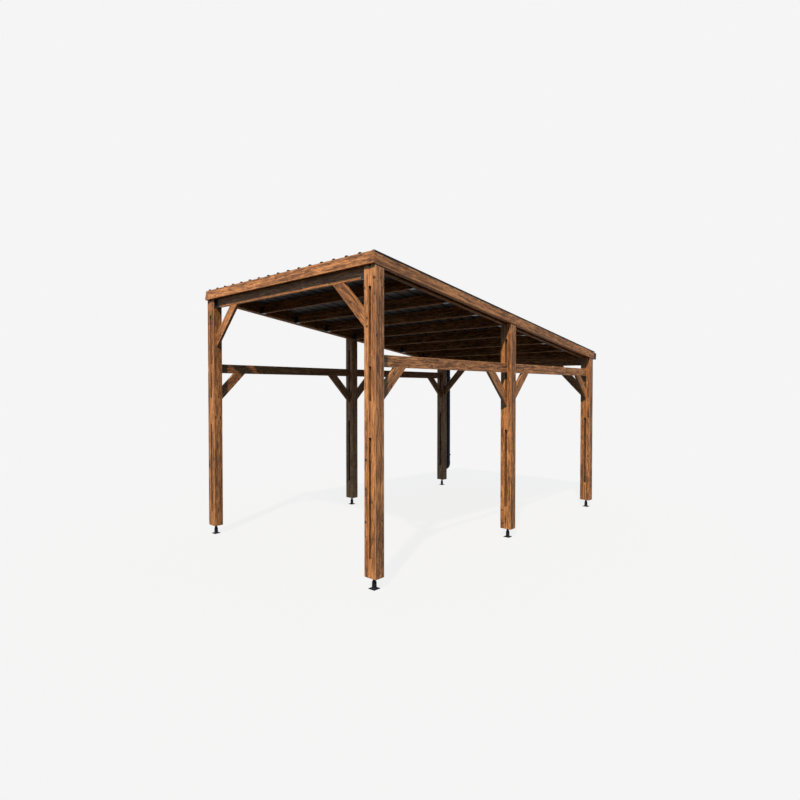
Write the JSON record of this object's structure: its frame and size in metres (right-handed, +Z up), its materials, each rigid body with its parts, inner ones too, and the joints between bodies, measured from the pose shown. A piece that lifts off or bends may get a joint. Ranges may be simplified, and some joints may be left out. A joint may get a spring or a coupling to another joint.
{
  "type": "carport",
  "caption": "Open timber carport: twin-plank posts on steel screw feet, side rails with knee braces, and a single-slope ribbed sheet roof that drains to a rear gutter and downpipe.",
  "frame": {"origin": "on the ground, at the centre of the plan of the whole carport", "axes": "+Z up, +Y from the high front to the low rear with the gutter, +X to the right seen from the front"},
  "size_m": [3.074, 5.0613, 3.1524],
  "materials": {
    "timber": "stained, brushed grain",
    "block_timber": "stained, brushed grain",
    "fascia_timber": "stained, brushed grain",
    "foot_steel": "satin black",
    "hanger_steel": "satin slate",
    "roof_sheet": "matt anthracite",
    "drain_sheet": "satin slate",
    "bracket_steel": "satin black"
  },
  "bodies": {
    "root": {"post_front_right": "timber", "post_front_left": "timber", "post_mid_right": "timber", "post_mid_left": "timber", "post_rear_right": "timber", "post_rear_left": "timber", "blocks_front_right": "block_timber", "blocks_front_left": "block_timber", "blocks_mid_right": "block_timber", "blocks_mid_left": "block_timber", "blocks_rear_right": "block_timber", "blocks_rear_left": "block_timber", "foot_front_right": "foot_steel", "foot_front_left": "foot_steel", "foot_mid_right": "foot_steel", "foot_mid_left": "foot_steel", "foot_rear_right": "foot_steel", "foot_rear_left": "foot_steel", "rail_right": "timber", "rail_left": "timber", "braces_front_bay_right": "timber", "braces_front_bay_left": "timber", "braces_rear_bay_right": "timber", "braces_rear_bay_left": "timber", "header_front": "timber", "header_rear": "timber", "header_braces_front": "timber", "header_braces_rear": "timber", "header_hangers_front": "hanger_steel", "header_hangers_rear": "hanger_steel", "beam_right": "timber", "beam_left": "timber", "fascia_right": "fascia_timber", "fascia_left": "fascia_timber", "fascia_front": "fascia_timber", "fascia_rear": "fascia_timber", "purlins": "timber", "purlin_hangers_right": "hanger_steel", "purlin_hangers_left": "hanger_steel", "roof_sheet": "roof_sheet", "gutter": "drain_sheet", "gutter_outlet": "drain_sheet", "gutter_leaves": "drain_sheet", "gutter_ends": "drain_sheet", "gutter_brackets": "bracket_steel", "downpipe": "drain_sheet", "pipe_elbow": "drain_sheet", "pipe_clips": "bracket_steel"}
  },
  "joints": []
}
